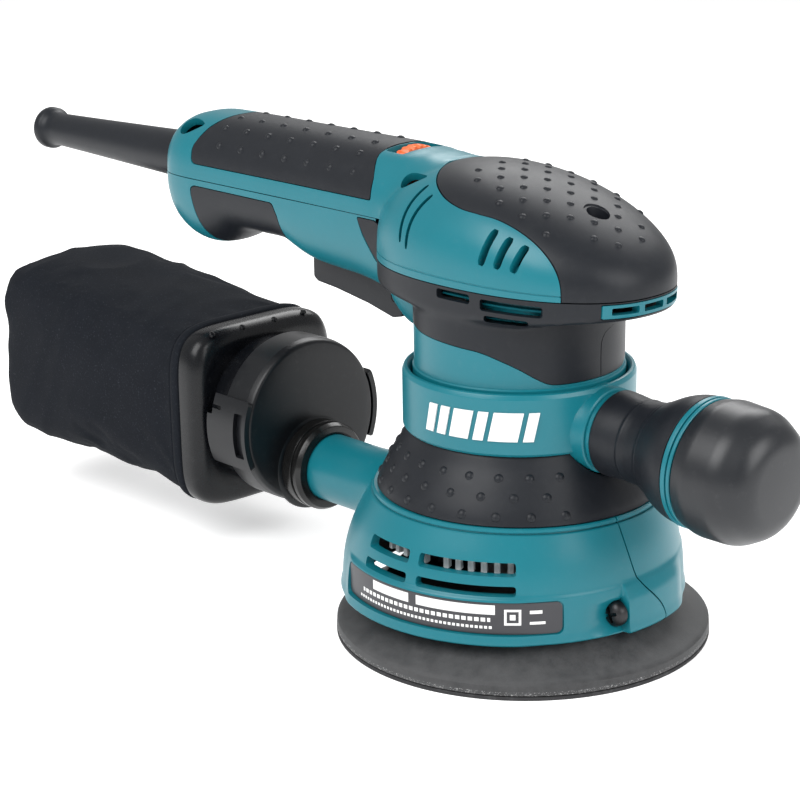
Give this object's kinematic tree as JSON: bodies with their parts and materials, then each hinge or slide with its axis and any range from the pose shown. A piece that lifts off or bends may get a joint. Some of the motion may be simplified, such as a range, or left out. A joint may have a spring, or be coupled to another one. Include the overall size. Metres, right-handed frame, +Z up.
{
  "type": "orbital sander",
  "caption": "Random-orbit sander with a long rear handle, front ball grip, vented motor head, round sanding pad and a fabric dust bag on a rear spout.",
  "frame": {"origin": "where the motor's axis meets the sanding face", "axes": "+X forward to the front grip, the rear handle along -X, +Z up along the motor's axis"},
  "size_m": [0.3622, 0.123, 0.155],
  "materials": {
    "teal_plastic": "satin moulded",
    "black_rubber": "matte overmould",
    "black_plastic": "matte moulded",
    "gloss_black_plastic": "semi-gloss moulded",
    "pad_cushion": "dusty matte foam rubber",
    "abrasive_paper": "gritty",
    "label_foil": "satin, blank",
    "steel": "turned",
    "black_steel": "blackened",
    "lamination_steel": "stacked laminations",
    "copper": "lacquered copper",
    "fan_plastic": "moulded nylon",
    "carbon": "pressed carbon",
    "orange_plastic": "moulded, ribbed",
    "bag_fabric": "woven"
  },
  "bodies": {
    "housing": {"base_housing": "teal_plastic", "base_clamp_screw": "black_steel", "rating_label": "label_foil", "skirt_cover": "black_rubber", "motor_housing": "teal_plastic", "neck_cover": "black_rubber", "front_vent_insert": "teal_plastic", "upper_housing": "teal_plastic", "head_rubber_cover": "black_rubber", "handle_top_pad": "black_rubber", "lower_handle": "teal_plastic", "handle_lower_pad": "black_rubber", "side_trim_left": "black_rubber", "side_trim_right": "black_rubber", "cord_guard": "black_rubber", "cord_clamp": "black_plastic", "switch_body": "black_plastic", "lever_pin": "steel", "speed_controller": "black_plastic", "housing_screw_1": "black_steel", "housing_screw_2": "black_steel", "housing_screw_3": "black_steel", "housing_screw_4": "black_steel", "head_screw": "black_steel", "grip_band": "teal_plastic", "stator_core": "lamination_steel", "lower_field_coil": "copper", "upper_field_coil": "copper", "lower_bearing": "steel", "upper_bearing": "steel", "bearing_bracket": "black_plastic", "brush_holder_left": "steel", "brush_holder_right": "steel", "carbon_brush_left": "carbon", "carbon_brush_right": "carbon"},
    "rotor": {"motor_shaft": "steel", "armature_core": "lamination_steel", "lower_windings": "copper", "upper_windings": "copper", "commutator": "copper", "fan": "fan_plastic", "counterweight": "steel", "pad_bearing": "steel"},
    "pad": {"pad_hub": "steel", "pad_screw": "steel", "backing_pad": "pad_cushion", "sanding_disc": "abrasive_paper"},
    "lever": {"switch_lever": "black_plastic"},
    "dial": {"speed_dial": "orange_plastic"},
    "front_grip": {"grip_core": "teal_plastic", "grip_sleeve": "black_rubber", "grip_cap": "black_plastic", "grip_bolt": "steel"},
    "nozzle": {"nozzle_sleeve": "gloss_black_plastic", "dust_nozzle": "gloss_black_plastic"},
    "bag": {"bag_frame": "gloss_black_plastic", "dust_bag": "bag_fabric"}
  },
  "joints": [
    {"name": "motor_spin", "type": "hinge", "parent": "housing", "child": "rotor", "pos_m": [0, 0, 0.08], "axis": [0, 0, 1], "continuous": true},
    {"name": "pad_spin", "type": "hinge", "parent": "rotor", "child": "pad", "pos_m": [0.0014, 0, 0.01], "axis": [0, 0, 1], "continuous": true},
    {"name": "lever_press", "type": "hinge", "parent": "housing", "child": "lever", "pos_m": [-0.0485, 0, 0.1045], "axis": [0, 1, 0], "range_deg": [0, 5.5], "stiffness_Nm_per_rad": 0.4, "springref_deg": -3.44},
    {"name": "dial_turn", "type": "hinge", "parent": "housing", "child": "dial", "pos_m": [-0.047, 0, 0.1405], "axis": [1, 0, 0], "range_deg": [0, 270]},
    {"name": "grip_turn", "type": "hinge", "parent": "housing", "child": "front_grip", "pos_m": [0.035, 0, 0.0758], "axis": [0.999, 0, -0.0436], "range_deg": [0, 720]},
    {"name": "bag_pull", "type": "slide", "parent": "housing", "child": "nozzle", "axis": [-1, 0, 0], "range_m": [0, 0.022]},
    {"name": "bag_twist", "type": "hinge", "parent": "nozzle", "child": "bag", "pos_m": [-0.12, 0, 0.0478], "axis": [1, 0, 0], "range_deg": [0, 18]}
  ]
}
